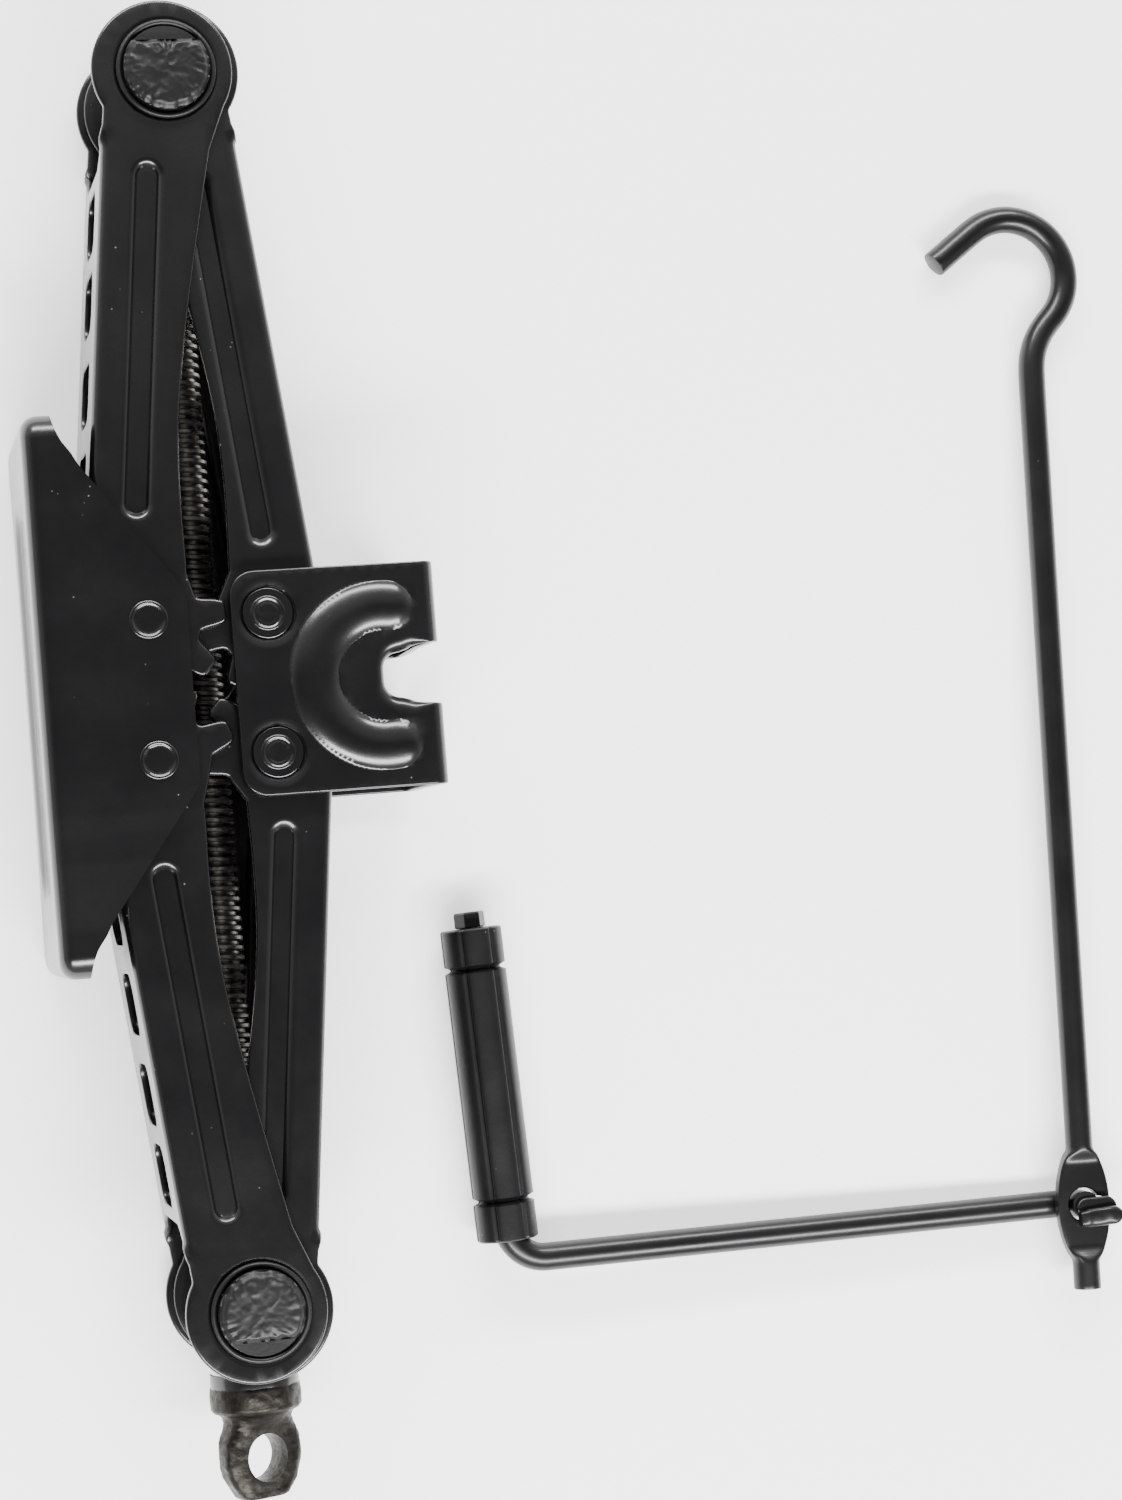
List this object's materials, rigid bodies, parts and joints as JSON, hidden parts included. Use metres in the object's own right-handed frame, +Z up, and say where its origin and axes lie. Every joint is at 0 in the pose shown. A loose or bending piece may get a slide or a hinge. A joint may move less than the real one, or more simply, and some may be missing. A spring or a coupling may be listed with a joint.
{
  "type": "scissor car jack",
  "caption": "Scissor car jack folded flat on its side: flared foot, geared channel arms, screw with a forged eye and a notched saddle, with its folding hook-and-crank handle beside it.",
  "frame": {"origin": "centre of the foot's flat bearing face, on the jack's middle plane", "axes": "+X is the lifting direction, from the foot to the saddle; +Y runs along the screw away from its eye; +Z points up from the floor on which the folded jack lies on its side"},
  "size_m": [0.3635, 0.4552, 0.072],
  "materials": {
    "black_enamel": "gloss black stoving enamel on pressed steel",
    "peened_black_steel": "hammered bar ends under gloss black enamel",
    "forged_steel": "bare forged steel, brown-grey scale",
    "bearing_steel": "ground bearing steel, greased",
    "cage_brass": "pressed brass",
    "black_bar": "satin black enamel on round bar",
    "grip_plastic": "moulded black plastic, semi-gloss"
  },
  "bodies": {
    "base": {"base_plate": "black_enamel", "base_pivot_pin_1": "black_enamel", "base_pivot_pin_2": "black_enamel"},
    "lower_arm_1": {"lower_arm_1": "black_enamel"},
    "lower_arm_2": {"lower_arm_2": "black_enamel"},
    "upper_arm_1": {"upper_arm_1": "black_enamel"},
    "upper_arm_2": {"upper_arm_2": "black_enamel"},
    "nut_trunnion": {"trunnion_nut": "peened_black_steel"},
    "thrust_trunnion": {"trunnion_thrust": "peened_black_steel", "bearing_seat_race": "bearing_steel"},
    "screw": {"screw": "forged_steel", "screw_end_pin": "forged_steel", "bearing_balls": "bearing_steel", "bearing_cage": "cage_brass", "bearing_collar_race": "bearing_steel", "thrust_washer": "forged_steel"},
    "saddle": {"saddle": "black_enamel", "saddle_pivot_pin_1": "black_enamel", "saddle_pivot_pin_2": "black_enamel", "saddle_pin_washers": "black_enamel"},
    "hook_rod": {"hook_rod": "black_bar"},
    "crank": {"crank_arm": "black_bar"},
    "grip": {"grip": "grip_plastic"}
  },
  "joints": [
    {"name": "fold", "type": "hinge", "parent": "base", "child": "lower_arm_1", "pos_m": [0.0337, 0.021, 0], "axis": [0, 0, -1], "range_deg": [0, 53.8]},
    {"name": "fold_lower_2", "type": "hinge", "parent": "base", "child": "lower_arm_2", "pos_m": [0.0337, -0.021, 0], "axis": [0, 0, 1], "range_deg": [0, 53.8]},
    {"name": "fold_upper_1", "type": "hinge", "parent": "lower_arm_1", "child": "upper_arm_1", "pos_m": [0.05174, 0.18702, 0], "axis": [0, 0, 1], "range_deg": [0, 107.6]},
    {"name": "fold_upper_2", "type": "hinge", "parent": "lower_arm_2", "child": "upper_arm_2", "pos_m": [0.05174, -0.18702, 0], "axis": [0, 0, -1], "range_deg": [0, 107.6]},
    {"name": "nut_level", "type": "hinge", "parent": "lower_arm_1", "child": "nut_trunnion", "pos_m": [0.05174, 0.18702, 0], "axis": [0, 0, 1], "range_deg": [0, 53.8]},
    {"name": "thrust_level", "type": "hinge", "parent": "lower_arm_2", "child": "thrust_trunnion", "pos_m": [0.05174, -0.18702, 0], "axis": [0, 0, -1], "range_deg": [0, 53.8]},
    {"name": "saddle_level", "type": "hinge", "parent": "upper_arm_1", "child": "saddle", "pos_m": [0.06977, 0.021, 0], "axis": [0, 0, -1], "range_deg": [0, 53.8]},
    {"name": "screw_spin", "type": "hinge", "parent": "thrust_trunnion", "child": "screw", "pos_m": [0.05174, -0.18702, 0], "axis": [0, 1, 0], "continuous": true},
    {"name": "handle_aside", "type": "slide", "parent": "saddle", "child": "hook_rod", "axis": [1, 0, 0], "range_m": [0, 0.12]},
    {"name": "crank_fold", "type": "hinge", "parent": "hook_rod", "child": "crank", "pos_m": [0.3342, -0.1878, 0], "axis": [0, 0, 1], "range_deg": [-55, 65]},
    {"name": "grip_spin", "type": "hinge", "parent": "crank", "child": "grip", "pos_m": [0.1397, -0.1869, -0.0261], "axis": [-0.0427, 0.9991, 0], "continuous": true}
  ],
  "couplings": [
    {"joint": "fold_lower_2", "follows": "fold", "ratio": 1},
    {"joint": "fold_upper_1", "follows": "fold", "ratio": 2},
    {"joint": "fold_upper_2", "follows": "fold", "ratio": 2},
    {"joint": "nut_level", "follows": "fold", "ratio": 1},
    {"joint": "thrust_level", "follows": "fold", "ratio": 1},
    {"joint": "saddle_level", "follows": "fold", "ratio": 1}
  ]
}
